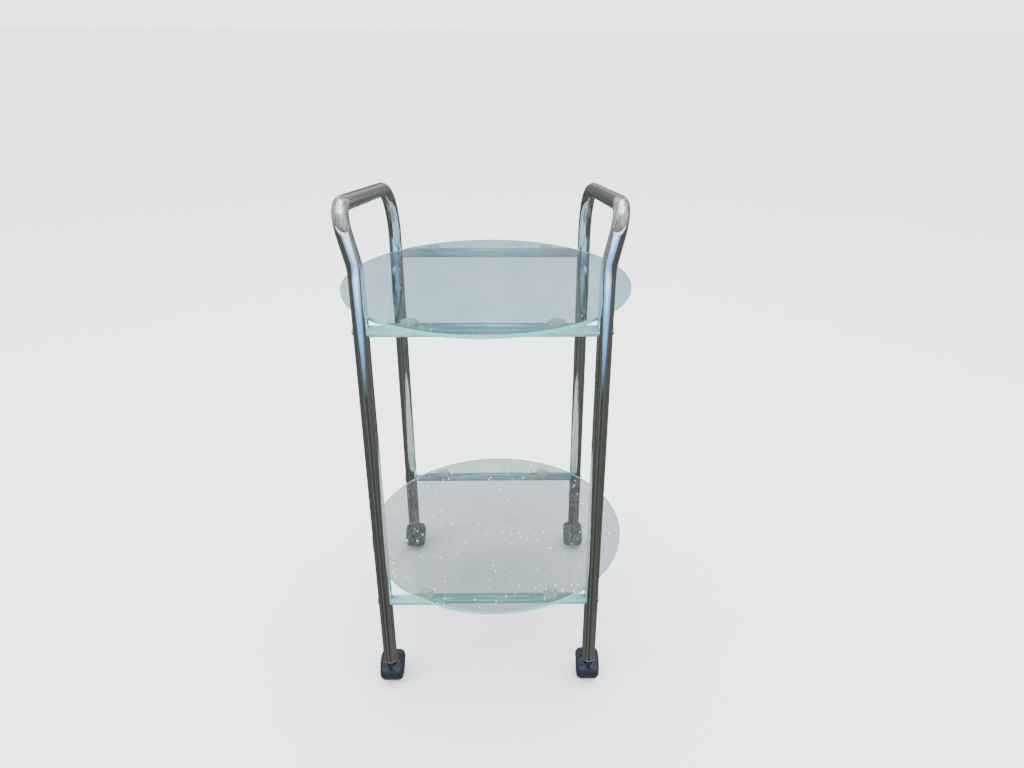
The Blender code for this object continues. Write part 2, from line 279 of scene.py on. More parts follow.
def joined(name, parts):
    """Several loose bodies, given as (bmesh, place), gathered as one tool for a Boolean."""
    whole = bmesh.new()
    for bm, place in parts:
        bm.transform(Matrix.Translation(place))
        loose = bpy.data.meshes.new(name)
        bmesh.ops.recalc_face_normals(bm, faces=bm.faces)
        bm.to_mesh(loose)
        bm.free()
        whole.from_mesh(loose)
        bpy.data.meshes.remove(loose)
    return whole


def shape(obj, tool_bm, operation="DIFFERENCE"):
    """Cut a tool from a piece, or weld it on, and keep the result in the piece's mesh."""
    tool = piece("tool", tool_bm, [])
    modifier = obj.modifiers.new(operation, "BOOLEAN")
    modifier.operation = operation
    modifier.object = tool
    apply_modifiers(obj)
    bpy.data.objects.remove(tool)


def apply_modifiers(obj):
    """Keep what the piece's modifiers make of its mesh, and drop the modifiers."""
    graph = bpy.context.evaluated_depsgraph_get()
    mesh = bpy.data.meshes.new_from_object(obj.evaluated_get(graph))
    obj.modifiers.clear()
    obj.data = mesh


def stand_for(obj, node, body):
    """The piece takes the place of one CAD node, on its body."""
    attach(obj, body)
    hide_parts(node)


def chrome(name, bright, dull, pitting, softness, along="straight", metal=1.0):
    """Bright plate: faint drawing lines along the tube, hazy patches, and small pits, which
    are thickest near the floor. Along names the mesh attribute that holds unbent places."""
    finish = Finish(name, Metallic=metal)
    where = finish.place(attribute=along)
    stretch = (900, 900, 7) if along else (7, 900, 900)
    haze = finish.ramp(finish.noise(where, 38, 4, 0.6), (0.42, 0), (0.72, 1))
    lines = finish.noise(finish.place(stretch, along), 1.0, 2)
    pits = finish.ramp(finish.noise(where, 2600, 2, 0.7), (0.665, 0), (0.70, 1))
    height = finish.node("SeparateXYZ", {}, {"Vector": finish.place()}, output="Z")
    pits = pits * finish.ramp(height, (0.05, 1), (0.55, 0.12)) * pitting
    plate = finish.blend(haze * 0.55, bright, dull)
    finish.show(
        Base_Color=finish.blend(pits, plate, (0.20, 0.15, 0.10, 1)),
        Roughness=softness + haze * 0.07 + lines * 0.03 + pits * 0.45,
    )
    finish.bump(lines * 0.3 - pits, 0.00003)
    return finish.material


leg_chrome = chrome("leg_chrome", (0.74, 0.76, 0.76, 1), (0.60, 0.61, 0.58, 1), 0.9, 0.05)
leg_places = {}
for end in ENDS:
    for side in SIDES:
        low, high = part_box(f"{end}_{side}_caster_stem")
        leg_places[end, side] = (low + high) / 2
rail_heights = {}
for level in LEVELS:
    low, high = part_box(f"{level}_front_rail")
    rail_heights[level] = (low.z + high.z) / 2

for side, sign in SIDES.items():
    node = f"{side}_side_frame"
    foot_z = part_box(node)[0].z
    front = leg_places["front", side]
    rear = leg_places["rear", side]
    path = rounded_path(
        [
            (front.x, front.y, foot_z),
            (front.x, front.y, KNEE_Z),
            (front.x + sign * FRONT_SPLAY, FRONT_CORNER_Y, FRONT_CORNER_Z),
            (rear.x, rear.y, REAR_CORNER_Z),
            (rear.x, rear.y, foot_z),
        ],
        (KNEE_R, FRONT_BEND_R, REAR_BEND_R),
        BEND_STEP_DEG,
    )
    tube = hollow_tube(path, TUBE_R, TUBE_BORE_R, TUBE_SIDES, TUBE_LIP)
    side_tube = piece(f"{side}_bent_tube", tube, [leg_chrome])
    drills = []
    for leg in (front, rear):
        for height in rail_heights.values():
            drills.append((rod(BOLT_HOLE_R, -2 * TUBE_R, 2 * TUBE_R, 20, "X"), (leg.x, leg.y, height)))
    shape(side_tube, joined("drills", drills))
    stand_for(side_tube, node, "cart")

# Cross rails. Four straight 18 mm steel tubes with thin walls tie the side frames together.
# Each end is fish-mouthed to sit on a leg, and two holes on top take the shelf pads. They are
# plated like the legs, but stay cleaner and softer, since hands never rub them. Their pale cyan
# colour on a part-matt surface is a painted reflection of the sky.
RAIL_R = 0.0090
RAIL_BORE_R = 0.0078
RAIL_SIDES = 48
SADDLE_GAP = 0.0003
PAD_X = 0.112
PAD_HOLE_R = 0.0026

# The pale cyan colours, shown through a metal share of 0.68, are a painted reflection of the sky.
rail_chrome_painted_sky = chrome(
    "rail_chrome_painted_sky", (0.54, 0.95, 1.00, 1), (0.45, 0.86, 0.93, 1), 0.25, 0.15, None, 0.68
)
for level in LEVELS:
    for end in ENDS:
        left = leg_places[end, "left"]
        right = leg_places[end, "right"]
        height = rail_heights[level]
        wall = [(RAIL_R, left.x), (RAIL_R, 0), (RAIL_R, right.x)]
        wall += [(RAIL_BORE_R, right.x), (RAIL_BORE_R, left.x)]
        bm = turned(wall, RAIL_SIDES, "X")
        rail = piece(f"{level}_{end}_cross_rail", bm, [rail_chrome_painted_sky], (0, left.y, height))
        cuts = []
        for leg in (left, right):
            saddle = rod(TUBE_R + SADDLE_GAP, -2 * RAIL_R, 2 * RAIL_R, 72)
            cuts.append((saddle, (leg.x, leg.y, height)))
        for sign in SIDES.values():
            hole = rod(PAD_HOLE_R, 0, 2 * RAIL_R, 20)
            cuts.append((hole, (sign * PAD_X, left.y, height)))
        shape(rail, joined("rail_cuts", cuts))
        stand_for(rail, f"{level}_{end}_rail", "cart")


# Rail inserts. A threaded steel bush is pressed into each rail end for the bolt to pull on.
# They are zinc plated, and hidden once the cart is together.
def zinc_plate():
    """Dull bright zinc: fine crystal mottle, with a little yellow in places."""
    finish = Finish("zinc_plate", Metallic=1.0)
    mottle = finish.noise(finish.place(), 700, 3, 0.6)
    stain = finish.ramp(finish.noise(finish.place(), 120, 2), (0.45, 0), (0.75, 1))
    plate = finish.blend(mottle, (0.52, 0.53, 0.54, 1), (0.70, 0.71, 0.72, 1))
    finish.show(
        Base_Color=finish.blend(stain * 0.5, plate, (0.62, 0.57, 0.46, 1)),
        Roughness=0.22 + mottle * 0.16,
    )
    finish.bump(mottle, 0.00004)
    return finish.material


zinc = zinc_plate()
for level in LEVELS:
    for end in ENDS:
        for side in SIDES:
            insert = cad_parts[f"{level}_{end}_{side}_rail_insert"]
            insert.data.materials.clear()
            insert.data.materials.append(zinc)

# Rail bolts. A low round head with a hexagon socket draws each leg against its rail. The
# head's underside is hollowed to fit the round leg, and it is chrome plated to match it.
BOLT_R = 0.0030
BOLT_HEAD_R = 0.0060
BOLT_HEAD_H = 0.0013
BOLT_CROWN = 0.45
BOLT_DOME_STEPS = 6
BOLT_GAP = 0.0002
BOLT_SKIRT = 0.0016
SHANK_INTO_HEAD = 0.0003
BOLT_REACH = 0.032
SOCKET_ACROSS = 0.0030
SOCKET_DEPTH = 0.0009

bolt_chrome = chrome("bolt_chrome", (0.74, 0.76, 0.77, 1), (0.60, 0.61, 0.60, 1), 0.5, 0.08, None)
seat_x = -TUBE_R - BOLT_GAP
crown_x = seat_x - BOLT_HEAD_H
dome = []
for step in range(BOLT_DOME_STEPS + 1):
    angle = math.radians(90 * step / BOLT_DOME_STEPS)
    radius = BOLT_HEAD_R * (BOLT_CROWN + (1 - BOLT_CROWN) * math.sin(angle))
    dome.append((radius, crown_x + BOLT_HEAD_H * (1 - math.cos(angle))))
head = turned(
    [(0, crown_x), *dome, (BOLT_HEAD_R, seat_x + BOLT_SKIRT), (0, seat_x + BOLT_SKIRT)], 48, "X"
)
bolt_head = piece("bolt_head", head, [bolt_chrome])
hexagon_r = SOCKET_ACROSS / 2 / math.cos(math.pi / 6)
hexagon = rod(hexagon_r, crown_x - SOCKET_DEPTH, crown_x + SOCKET_DEPTH, 6, "X")
leg_round = rod(-seat_x, -2 * BOLT_HEAD_R, 2 * BOLT_HEAD_R, 96)
shape(bolt_head, joined("head_cuts", [(hexagon, (0, 0, 0)), (leg_round, (0, 0, 0))]))
for side, sign in SIDES.items():
    facing = Matrix.Rotation(0 if sign < 0 else math.pi, 4, "Z")
    for level in LEVELS:
        for end in ENDS:
            leg = leg_places[end, side]
            bm = rod(BOLT_R, seat_x - SHANK_INTO_HEAD, BOLT_REACH, 24, "X")
            bm.from_mesh(bolt_head.data)
            bm.transform(facing)
            place = (leg.x, leg.y, rail_heights[level])
            bolt = piece(f"{level}_{end}_{side}_dome_bolt", bm, [bolt_chrome], place)
            stand_for(bolt, f"{level}_{end}_{side}_rail_bolt", "cart")
bpy.data.objects.remove(bolt_head)

# Shelf pads. Clear soft vinyl discs keep the glass off the steel. Each is moulded with a
# raised ring on top and a small spigot below, which is pushed into the hole in the rail.
PAD_R = 0.0140
PAD_GAP = 0.0003
SPIGOT_R = 0.0022
SPIGOT_DEPTH = 0.005
PAD_RING = 0.0004


def clear_soft_vinyl():
    """Slightly yellowed clear vinyl with a cloudy inside and a satin skin."""
    finish = Finish("clear_soft_vinyl", Transmission_Weight=0.55, IOR=1.5)
    cloud = finish.noise(finish.place(), 260, 3)
    finish.show(
        Base_Color=finish.blend(cloud, (0.80, 0.86, 0.80, 1), (0.93, 0.95, 0.88, 1)),
        Roughness=0.16 + cloud * 0.2,
    )
    finish.bump(finish.noise(finish.place(), 1600, 2), 0.00003)
    return finish.material


vinyl = clear_soft_vinyl()
for level in LEVELS:
    glass_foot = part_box(f"{level}_glass_shelf")[0].z - rail_heights[level]
    bottom = RAIL_R + PAD_GAP
    top = glass_foot - PAD_GAP
    outline = [
        (0, bottom - SPIGOT_DEPTH),
        (SPIGOT_R - 0.0004, bottom - SPIGOT_DEPTH),
        (SPIGOT_R, bottom - SPIGOT_DEPTH + 0.0006),
        (SPIGOT_R, bottom),
        (PAD_R - 0.0012, bottom),
        (PAD_R - 0.0003, bottom + 0.0006),
        (PAD_R, (bottom + top) / 2),
        (PAD_R - 0.0003, top - 0.0005),
        (PAD_R - 0.0010, top),
        (PAD_R - 0.0028, top),
        (PAD_R - 0.0034, top - PAD_RING),
        (PAD_R * 0.45, top - PAD_RING),
        (PAD_R * 0.40, top),
        (PAD_R * 0.28, top),
        (PAD_R * 0.22, top - PAD_RING),
        (0, top - PAD_RING),
    ]
    for end in ENDS:
        for side, sign in SIDES.items():
            place = (sign * PAD_X, leg_places[end, side].y, rail_heights[level])
            pad = piece(f"{level}_{end}_{side}_vinyl_pad", turned(outline, 56), [vinyl], place)
            stand_for(pad, f"{level}_{end}_{side}_pad", "cart")

# Glass shelves. Two round plates of 6 mm clear float glass lie loose on the pads. The faces
# are fire polished; the rim is ground with two small chamfers, so the green-blue of the
# glass shows there. The lower plate has caught dust and dried drops.
GLASS_CHAMFER = 0.0008
GLASS_SIDES = 224
GLASS_FILM = 0.03
GLASS_DROPS = {"lower": 0.9, "upper": 0.25}


def float_glass(name, body, pale, dust, drops):
    """Clear glass under a faint film, with dust and drops laid over it as a second shader."""
    finish = Finish(name, Transmission_Weight=1.0, IOR=1.5, Specular_IOR_Level=0.6)
    smear = finish.noise(finish.place((1, 1, 0)), 9, 3, 0.6)
    wiped = finish.noise(finish.place((4, 30, 0)), 2.0, 3)
    finish.show(
        Base_Color=finish.blend(smear, body, pale),
        Roughness=0.006 + smear * 0.016,
    )
    finish.bump(finish.noise(finish.place((1, 1, 0)), 5, 1), 0.0001, 0.25)
    flat = finish.place((1, 1, 0))
    drop = finish.node("TexVoronoi", {}, {"Vector": flat, "Scale": 76, "Randomness": 1.0})
    grit = finish.ramp(finish.noise(flat, 420, 2, 0.6), (0.60, 0), (0.66, 1))
    patches = finish.ramp(finish.noise(flat, 14, 3), (0.40, 0.1), (0.56, 1))
    specks = (finish.ramp(drop, (0.09, 1), (0.15, 0)) + grit * 0.3) * patches * drops
    film = finish.ramp(wiped, (0.30, 0.35), (0.75, 1)) * smear * dust
    finish.overlay(specks + film, Base_Color=(0.74, 0.78, 0.79, 1), Roughness=0.8)
    return finish.material


def ground_edge():
    """The ground rim: fine grinding scratches round a deep green-blue body."""
    finish = Finish("ground_glass_edge", Transmission_Weight=0.35, IOR=1.5)
    scratch = finish.noise(finish.place((1, 1, 30)), 160, 4, 0.7)
    finish.show(
        Base_Color=finish.blend(scratch, (0.08, 0.42, 0.43, 1), (0.28, 0.70, 0.70, 1)),
        Roughness=0.14 + scratch * 0.22,
    )
    finish.bump(scratch, 0.00004)
    return finish.material


edge_glass = ground_edge()
# The green-grey is the glass's own tint. The upper plate's extra blue is partly a painted sky sheen.
glass_tints_and_sky_sheen = {
    "lower": ((0.25, 0.30, 0.295, 1), (0.35, 0.40, 0.39, 1)),
    "upper": ((0.19, 0.295, 0.33, 1), (0.27, 0.39, 0.43, 1)),
}
for level in LEVELS:
    body, pale = glass_tints_and_sky_sheen[level]
    face_glass = float_glass(f"{level}_float_glass", body, pale, GLASS_FILM, GLASS_DROPS[level])
    low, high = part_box(f"{level}_glass_shelf")
    radius = (high.x - low.x) / 2
    thick = high.z - low.z
    round_in = GLASS_CHAMFER * 0.3
    outline = [
        (0, 0),
        (radius * 0.5, 0),
        (radius - 3 * GLASS_CHAMFER, 0),
        (radius - GLASS_CHAMFER, 0),
        (radius - round_in, GLASS_CHAMFER - round_in),
        (radius, GLASS_CHAMFER + round_in),
        (radius, thick - GLASS_CHAMFER - round_in),
        (radius - round_in, thick - GLASS_CHAMFER + round_in),
        (radius - GLASS_CHAMFER, thick),
        (radius - 3 * GLASS_CHAMFER, thick),
        (radius * 0.5, thick),
        (0, thick),
    ]
    # The ground rim is the bands from the first chamfer to the last.
    plate = turned(outline, GLASS_SIDES, marked=range(3, 8))
    place = ((low.x + high.x) / 2, (low.y + high.y) / 2, low.z)
    shelf = piece(f"{level}_round_glass", plate, [face_glass, edge_glass], place, 20)
    shelf.visible_shadow = False
    stand_for(shelf, f"{level}_glass_shelf", "cart")

# Caster sockets and stems. A flanged steel socket is driven into each tube end, and the
# caster's stem, grooved near its tip, turns in it on a collar. Both are zinc plated; the
# flange is the bright ring that shows below the tube.
STEM_R = 0.0040
STEM_BORE_R = 0.0041
STEM_COLLAR_R = 0.0085
SOCKET_R = 0.0107
FLANGE_R = 0.0123
FLANGE_H = 0.0010
RUNNING_GAP = 0.0003
NECK_TOP_Z = 0.0541
EDGE_ROUND = 0.0003
GROOVE_BELOW_TIP = (0.0045, 0.0040, 0.0030, 0.0025)
GROOVE_DEPTH = 0.0005
STEM_TIP = 0.0015


def soft_edges(outline, sharp, amount):
    """The outline with the listed corners cut back by a small amount on both sides."""
    softened = []
    for index, point in enumerate(outline):
        if index not in sharp:
            softened.append(point)
            continue
        here = Vector(point)
        for neighbour in (outline[index - 1], outline[(index + 1) % len(outline)]):
            softened.append(tuple(here + (Vector(neighbour) - here).normalized() * amount))
    return softened


for (end, side), leg in leg_places.items():
    socket_low, socket_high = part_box(f"{end}_{side}_caster_socket")
    foot = socket_low.z
    outline = [
        (STEM_BORE_R, foot),
        (FLANGE_R, foot),
        (FLANGE_R, foot + FLANGE_H),
        (SOCKET_R, foot + FLANGE_H),
        (SOCKET_R, socket_high.z),
        (STEM_BORE_R, socket_high.z),
    ]
    bm = turned(soft_edges(outline, (1, 2, 4), EDGE_ROUND), 64)
    socket = piece(f"{end}_{side}_stem_socket", bm, [zinc], (leg.x, leg.y, 0))
    stand_for(socket, f"{end}_{side}_caster_socket", "cart")

    stem_low, stem_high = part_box(f"{end}_{side}_caster_stem")
    collar_foot = NECK_TOP_Z + RUNNING_GAP
    collar_top = foot - RUNNING_GAP
    outline = [
        (0, stem_low.z),
        (STEM_R, stem_low.z),
        (STEM_R, collar_foot),
        (STEM_COLLAR_R, collar_foot),
        (STEM_COLLAR_R, collar_top),
        (STEM_R, collar_top),
    ]
    for below, depth in zip(GROOVE_BELOW_TIP, (0, GROOVE_DEPTH, GROOVE_DEPTH, 0)):
        outline.append((STEM_R - depth, stem_high.z - below))
    outline += [(STEM_R - STEM_TIP, stem_high.z), (0, stem_high.z)]
    bm = turned(soft_edges(outline, (3, 4), EDGE_ROUND), 48)
    stem = piece(f"{end}_{side}_swivel_stem", bm, [zinc], (leg.x, leg.y, 0))
    stand_for(stem, f"{end}_{side}_caster_stem", f"{end}_{side}_swivel")

# Caster hoods. One moulding in slate-grey nylon: a rounded hood over both wheels, a web
# between them, and a boss that grips the stem. A V under the neck opens the front; the boss and
# the walls of the V are painted near-black as painted shade.
HOOD_R = 0.0285
HOOD_WALL = 0.0018
HOOD_HALF_WIDTH = 0.0215
HOOD_SHOULDER = (0.0105, 0.0085)
HOOD_FRONT_DEG = -32
HOOD_REAR_DEG = 188
WEB_HALF_WIDTH = 0.0065
WEB_FOOT_Y = 0.008
WEB_FOOT_DROP = 0.010
BOSS_R = 0.0061
BOSS_FOOT_Z = 0.024
NECK_R = 0.0085
NECK_FOOT_Z = 0.0512
NOTCH_HALF_WIDTH = 0.0118
NOTCH_FOOT_Z = 0.0352
NOTCH_BACK_Y = 0.0013
RECESS_MARGIN = 0.0002
HOOD_ROUND = 0.00035
STEM_FOOT_Z = 0.034


def moulded_nylon(name, body, worn, gloss):
    """Moulded nylon: fine spark-eroded grain, faint flow marks and pale scuffs low down."""
    finish = Finish(name, IOR=1.53)
    flow = finish.noise(finish.place((1, 1, 3)), 55, 3, 0.6)
    grain = finish.noise(finish.place(), 3200, 2, 0.6)
    scuff = finish.ramp(finish.noise(finish.place((2, 1, 1)), 420, 4, 0.65), (0.60, 0), (0.72, 1))
    height = finish.node("SeparateXYZ", {}, {"Vector": finish.place()}, output="Z")
    dusty = finish.ramp(height, (0.0, 1), (0.055, 0.25))
    colour = finish.blend(flow, body, worn)
    finish.show(
        Base_Color=finish.blend(scuff * dusty * 0.55, colour, (0.085, 0.088, 0.088, 1)),
        Roughness=gloss + flow * 0.14 + scuff * 0.2,
    )
    finish.bump(grain * 0.6 + flow * 0.2, 0.00006)
    return finish.material


def rounded_rim(radius, half_width, rounding, steps=8):
    """The (radius, height) points of a rim whose outer edge is a quarter of an ellipse."""
    inward, downward = rounding
    points = []
    for step in range(steps + 1):
        angle = math.radians(90 * step / steps)
        drop = downward * (1 - math.cos(angle))
        points.append((radius - drop, half_width - inward * (1 - math.sin(angle))))
    return points


def hood_block():
    """The hood before its wheel wells are cut: a barrel over the axle, closed by the web."""
    steps = 66
    span = math.radians(HOOD_REAR_DEG - HOOD_FRONT_DEG)
    edge = rounded_rim(HOOD_R, HOOD_HALF_WIDTH, HOOD_SHOULDER)
    stations = [(radius, -x) for radius, x in reversed(edge)] + edge
    bm = bmesh.new()
    sections = []
    for radius, x in stations:
        section = []
        for step in range(steps + 1):
            angle = math.radians(HOOD_FRONT_DEG) + span * step / steps
            section.append(bm.verts.new((x, -radius * math.cos(angle), radius * math.sin(angle))))
        for y in (WEB_FOOT_Y, -WEB_FOOT_Y):
            section.append(bm.verts.new((x, y, -WEB_FOOT_DROP)))
        sections.append(section)
    for section, following in zip(sections, sections[1:]):
        for index in range(len(section)):
            corners = (section[index - 1], section[index], following[index], following[index - 1])
            bm.faces.new(corners)
    bm.faces.new(sections[0])
    bm.faces.new(sections[-1])
    bmesh.ops.triangulate(bm, faces=bm.faces)
    return bm


def wheel_well(sign):
    """The room for one wheel, following the hood's rounded edge at an even wall thickness."""
    edge = rounded_rim(HOOD_R - HOOD_WALL, HOOD_HALF_WIDTH, HOOD_SHOULDER)
    outside = 2 * HOOD_HALF_WIDTH
    outline = [(0, WEB_HALF_WIDTH), (HOOD_R - HOOD_WALL, WEB_HALF_WIDTH), *edge]
    outline += [(edge[-1][0], outside), (0, outside)]
    bm = turned(outline, 132, "X")
    if sign < 0:
        bm.transform(Matrix.Rotation(math.pi, 4, "Z"))
    return bm


def in_recess(place):
    """Whether a place on the hood is in the V or on the boss, which are painted near-black as painted
    shade.
    """
    if math.hypot(place.x, place.y) < BOSS_R + RECESS_MARGIN:
        return True
    from_axle = math.hypot(place.y - trail, place.z - axle_z)
    inside = from_axle < HOOD_R - HOOD_WALL / 2 and place.y < NOTCH_BACK_Y + RECESS_MARGIN
    return inside and abs(place.x) < NOTCH_HALF_WIDTH and place.z > NOTCH_FOOT_Z - 5 * RECESS_MARGIN


def notch_prism(front_y):
    """The V that opens the hood's front: wide at the neck and pointed below it."""
    bm = bmesh.new()
    rings = []
    for y in (front_y, NOTCH_BACK_Y):
        corners = [(-NOTCH_HALF_WIDTH, NECK_TOP_Z), (0, NOTCH_FOOT_Z), (NOTCH_HALF_WIDTH, NECK_TOP_Z)]
        rings.append([bm.verts.new((x, y, z)) for x, z in corners])
    for side in range(3):
        onward = (side + 1) % 3
        bm.faces.new((rings[0][side], rings[0][onward], rings[1][onward], rings[1][side]))
    bm.faces.new(rings[0])
    bm.faces.new(rings[1])
    return bm


hood_nylon = moulded_nylon("hood_nylon", (0.0060, 0.0090, 0.0140, 1), (0.011, 0.015, 0.021, 1), 0.22)
# The near-black copy of the nylon is painted shade for the V and the boss.
painted_shade_nylon = moulded_nylon("hood_nylon_painted_shade", (0.003, 0.004, 0.005, 1), (0.005, 0.006, 0.008, 1), 0.5)
axle_low, axle_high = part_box("front_left_caster_axle")
axle_middle = (axle_low + axle_high) / 2
trail = axle_middle.y - leg_places["front", "left"].y
axle_z = axle_middle.z
hood_master = piece("hood_master", hood_block(), [hood_nylon], (0, trail, axle_z))
for sign in SIDES.values():
    shape(hood_master, joined("well", [(wheel_well(sign), (0, trail, axle_z))]))
shape(hood_master, notch_prism(trail - 2 * HOOD_R))
boss_outline = [
    (0, BOSS_FOOT_Z),
    (BOSS_R, BOSS_FOOT_Z),
    (BOSS_R, NECK_FOOT_Z),
    (NECK_R, NECK_FOOT_Z),
    (NECK_R, NECK_TOP_Z),
    (0, NECK_TOP_Z),
]
shape(hood_master, turned(soft_edges(boss_outline, (4,), 0.0005), 48), "UNION")
stem_bore = rod(STEM_BORE_R, STEM_FOOT_Z - RUNNING_GAP, 2 * NECK_TOP_Z, 40)
shape(hood_master, stem_bore)
rounding = hood_master.modifiers.new("edges", "BEVEL")
rounding.width = HOOD_ROUND
rounding.segments = 2
rounding.limit_method = "ANGLE"
rounding.angle_limit = math.radians(38)
rounding.use_clamp_overlap = True
apply_modifiers(hood_master)
# Faces in the V and on the boss take the near-black copy, as painted shade.
hood_master.data.materials.append(painted_shade_nylon)
for polygon in hood_master.data.polygons:
    polygon.material_index = int(in_recess(polygon.center))
for (end, side), leg in leg_places.items():
    hood = bpy.data.objects.new(f"{end}_{side}_moulded_hood", hood_master.data)
    bpy.context.scene.collection.objects.link(hood)
    hood.location = (leg.x, leg.y, 0)
    stand_for(hood, f"{end}_{side}_caster_hood", f"{end}_{side}_swivel")
bpy.data.objects.remove(hood_master)

# Caster wheels and axles. Two nylon wheels snap onto a plain zinc-plated pin on either side
# of the web. Each has a rounded shoulder, a dished face with a ringed hub, and a tread with
# two thin moulded grooves, scuffed pale where it rolls.
WHEEL_R = 0.025
WHEEL_INNER_X = 0.0073
WHEEL_OUTER_X = 0.0206
WHEEL_SHOULDER = (0.0080, 0.0065)
AXLE_BORE_R = 0.0026
DISH_RIM_R = 0.0168
DISH_R = 0.0153
DISH_DEPTH = 0.0012
HUB_RING_R = 0.0100
HUB_R = 0.0052
GROOVE = 0.00035
GROOVE_PLACES = (0.0098, 0.0118)
WHEEL_SIDES = 96

wheel_nylon = moulded_nylon("wheel_nylon", (0.007, 0.009, 0.012, 1), (0.012, 0.014, 0.017, 1), 0.36)
dish_x = WHEEL_OUTER_X - DISH_DEPTH
bore_end_x = axle_high.x - axle_middle.x + RUNNING_GAP
rim = rounded_rim(WHEEL_R, WHEEL_OUTER_X, WHEEL_SHOULDER, 10)
tread = []
for groove_x in GROOVE_PLACES:
    for offset, depth in ((-2, 0), (-1, 1), (1, 1), (2, 0)):
        tread.append((WHEEL_R - depth * GROOVE, groove_x + offset * GROOVE / 2))
face = [
    (DISH_RIM_R, WHEEL_OUTER_X),
    (DISH_RIM_R - 0.0005, WHEEL_OUTER_X - 0.0003),
    (DISH_R + 0.0003, dish_x + 0.0002),
    (DISH_R - 0.0003, dish_x),
    (HUB_RING_R + 0.0008, dish_x),
    (HUB_RING_R + 0.0004, dish_x + 0.0005),
    (HUB_RING_R - 0.0004, dish_x + 0.0005),
    (HUB_RING_R - 0.0008, dish_x),
    (HUB_R + 0.0004, dish_x),
    (HUB_R, dish_x + 0.0006),
    (HUB_R - 0.0008, dish_x + 0.0009),
    (0, dish_x + 0.0010),
]
outline = [
    (0, bore_end_x),
    (AXLE_BORE_R, bore_end_x),
    (AXLE_BORE_R, WHEEL_INNER_X),
    (WHEEL_R - 0.0018, WHEEL_INNER_X),
    (WHEEL_R - 0.0005, WHEEL_INNER_X + 0.0006),
    (WHEEL_R, WHEEL_INNER_X + 0.0018),
    *tread,
    *rim,
    *face,
]
wheel_master = piece("wheel_master", turned(outline, WHEEL_SIDES, "X"), [wheel_nylon])
for (end, side), leg in leg_places.items():
    for half, sign in SIDES.items():
        node = f"{end}_{side}_{half}_wheel"
        wheel = bpy.data.objects.new(f"{end}_{side}_{half}_moulded_wheel", wheel_master.data)
        bpy.context.scene.collection.objects.link(wheel)
        wheel.location = (leg.x, leg.y + trail, axle_z)
        wheel.rotation_euler.z = 0 if sign > 0 else math.pi
        stand_for(wheel, node, f"{node}_body")
    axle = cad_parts[f"{end}_{side}_caster_axle"]
    axle.data.materials.clear()
    axle.data.materials.append(zinc)
bpy.data.objects.remove(wheel_master)

# Studio. A pale floor and two soft lights, none of them mirrored, stand round the cart. The
# polished steel mirrors painted surroundings instead: a bright zenith over grey sky, dim
# olive ground, and a low card in front that turns from sky blue to white with its height.
FLOOR_SIZE = 40

floor_paint = Finish("pale_floor", Roughness=0.9)
mottle = floor_paint.noise(floor_paint.place(), 1.5, 2)
floor_paint.show(Base_Color=floor_paint.blend(mottle, (0.90, 0.91, 0.92, 1), (0.93, 0.94, 0.95, 1)))
floor_bm = bmesh.new()
bmesh.ops.create_grid(floor_bm, x_segments=4, y_segments=4, size=FLOOR_SIZE)
floor = piece("studio_floor", floor_bm, [floor_paint.material])
floor.visible_glossy = False

world = bpy.data.worlds.new("studio")
bpy.context.scene.world = world
world.use_nodes = True
tree = world.node_tree
nodes = tree.nodes
nodes.clear()


def world_node(kind, settings=None, sockets=None):
    """A node of the surroundings: its type, its settings, and its sockets' values or links."""
    node = nodes.new("ShaderNode" + kind)
    for name, value in (settings or {}).items():
        setattr(node, name, value)
    for name, value in (sockets or {}).items():
        if isinstance(value, bpy.types.NodeSocket):
            tree.links.new(value, node.inputs[name])
        else:
            node.inputs[name].default_value = value
    return node


direction = world_node("TexCoord").outputs["Generated"]
split = world_node("SeparateXYZ", sockets={"Vector": direction})
stretch = world_node("Mapping", sockets={"Vector": direction, "Scale": (1.0, 1.0, 0.25)})
bands = world_node(
    "TexNoise", sockets={"Vector": stretch.outputs[0], "Scale": 3.2, "Detail": 3, "Roughness": 0.6}
)
rise = world_node("MapRange", sockets={"Value": split.outputs["Z"], "From Min": -1, "From Max": 1})
height = world_node("ValToRGB", sockets={"Fac": rise.outputs[0]})
SURROUNDINGS = (
    (0.00, (0.30, 0.30, 0.28)),
    (0.18, (0.105, 0.110, 0.096)),
    (0.33, (0.128, 0.134, 0.118)),
    (0.42, (0.27, 0.29, 0.29)),
    (0.48, (0.36, 0.35, 0.33)),
    (0.52, (0.40, 0.37, 0.35)),
    (0.58, (0.52, 0.53, 0.54)),
    (0.68, (0.54, 0.58, 0.61)),
    (0.88, (0.80, 0.85, 0.90)),
    (1.00, (3.60, 3.80, 4.00)),
)
elements = height.color_ramp.elements
while len(elements) < len(SURROUNDINGS):
    elements.new(0.5)
for element, (position, colour) in zip(elements, SURROUNDINGS):
    element.position = position
    element.color = (*colour, 1)
contrast = world_node(
    "MapRange",
    sockets={
        "Value": bands.outputs[0],
        "From Min": 0.38,
        "From Max": 0.62,
        "To Min": 0.45,
        "To Max": 1.6,
    },
)
mirrored = world_node(
    "Background", sockets={"Color": height.outputs["Color"], "Strength": contrast.outputs[0]}
)
lighting = world_node("Background", sockets={"Color": (0.93, 0.97, 1.0, 1), "Strength": 3.2})
paths = world_node("LightPath")
surround = world_node(
    "MixShader",
    sockets={0: paths.outputs["Is Glossy Ray"], 1: lighting.outputs[0], 2: mirrored.outputs[0]},
)
world_node("OutputWorld", sockets={"Surface": surround.outputs[0]})

CARD_Y = -2.3
CARD_HALF_WIDTH = 8.0
CARD_FOOT_Z = -0.42
CARD_TOP_Z = 0.50

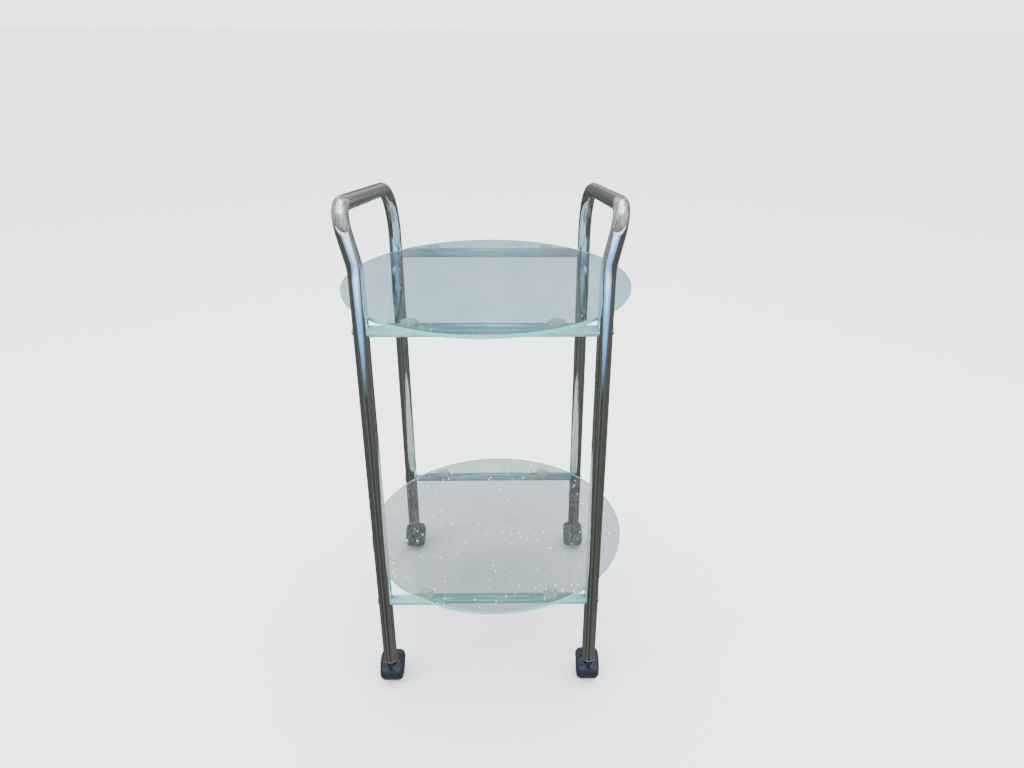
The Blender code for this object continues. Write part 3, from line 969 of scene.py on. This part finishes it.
card_bm = bmesh.new()
card_corners = ((-1, CARD_FOOT_Z), (1, CARD_FOOT_Z), (1, CARD_TOP_Z), (-1, CARD_TOP_Z))
card_bm.faces.new([card_bm.verts.new((x * CARD_HALF_WIDTH, CARD_Y, z)) for x, z in card_corners])
card_paint = Finish("reflector", Base_Color=(0, 0, 0, 1), Emission_Strength=1.0)
card_z = card_paint.node("SeparateXYZ", {}, {"Vector": card_paint.place()}, output="Z")
card_height = card_paint.node(
    "MapRange", {}, {"Value": card_z, "From Min": CARD_FOOT_Z, "From Max": CARD_TOP_Z}
)
ripple = card_paint.noise(card_paint.place((1, 1, 0.2)), 1.6, 2)
glow = card_paint.ramp(card_height + ripple * 0.3, (0.53, 0), (0.66, 1))
sky = card_paint.blend(glow, (0.34, 1.00, 2.00, 1), (2.30, 2.70, 3.00, 1))
fade = card_paint.ramp(card_height, (0.0, 0), (0.22, 1))
card_paint.show(Emission_Color=card_paint.blend(fade, (0.16, 0.17, 0.15, 1), sky))
card = piece("low_reflector", card_bm, [card_paint.material])
card.visible_camera = False
card.visible_diffuse = False
card.visible_transmission = False
card.visible_shadow = False


def soft_light(name, place, aim, width, depth, power, colour):
    """A rectangular softbox aimed at a point, kept out of the steel's mirror images."""
    lamp = bpy.data.lights.new(name, "AREA")
    lamp.shape = "RECTANGLE"
    lamp.size = width
    lamp.size_y = depth
    lamp.energy = power
    lamp.color = colour
    obj = bpy.data.objects.new(name, lamp)
    obj.location = place
    obj.rotation_euler = (Vector(aim) - Vector(place)).to_track_quat("-Z", "Y").to_euler()
    obj.visible_glossy = False
    bpy.context.scene.collection.objects.link(obj)


soft_light("overhead_light", (0.3, 0.6, 3.2), (0, 0, 0.4), 2.6, 2.2, 90, (0.95, 0.98, 1.0))
soft_light("left_light", (-2.4, -1.3, 2.0), (0, 0, 0.6), 0.7, 1.4, 45, (1.0, 0.98, 0.95))

# Camera. It stands a little over a metre in front of the cart, above its handles, and looks
# down on it. The small lens shifts place the cart in the frame.
CAMERA_PLACE = (0.0448, -1.2866, 1.1805)
CAMERA_YAW = 0.0167
CAMERA_PITCH = 0.4311
CAMERA_ROLL = -0.0048

camera_data = bpy.data.cameras.new("camera")
camera_data.sensor_width = 36
camera_data.lens = 27.1
camera_data.shift_x = -0.0121
camera_data.shift_y = -0.0249
camera = bpy.data.objects.new("camera", camera_data)
camera.matrix_world = (
    Matrix.Translation(CAMERA_PLACE)
    @ Matrix.Rotation(-CAMERA_YAW, 4, "Z")
    @ Matrix.Rotation(math.pi / 2 - CAMERA_PITCH, 4, "X")
    @ Matrix.Rotation(-CAMERA_ROLL, 4, "Z")
)
bpy.context.scene.collection.objects.link(camera)
bpy.context.scene.camera = camera
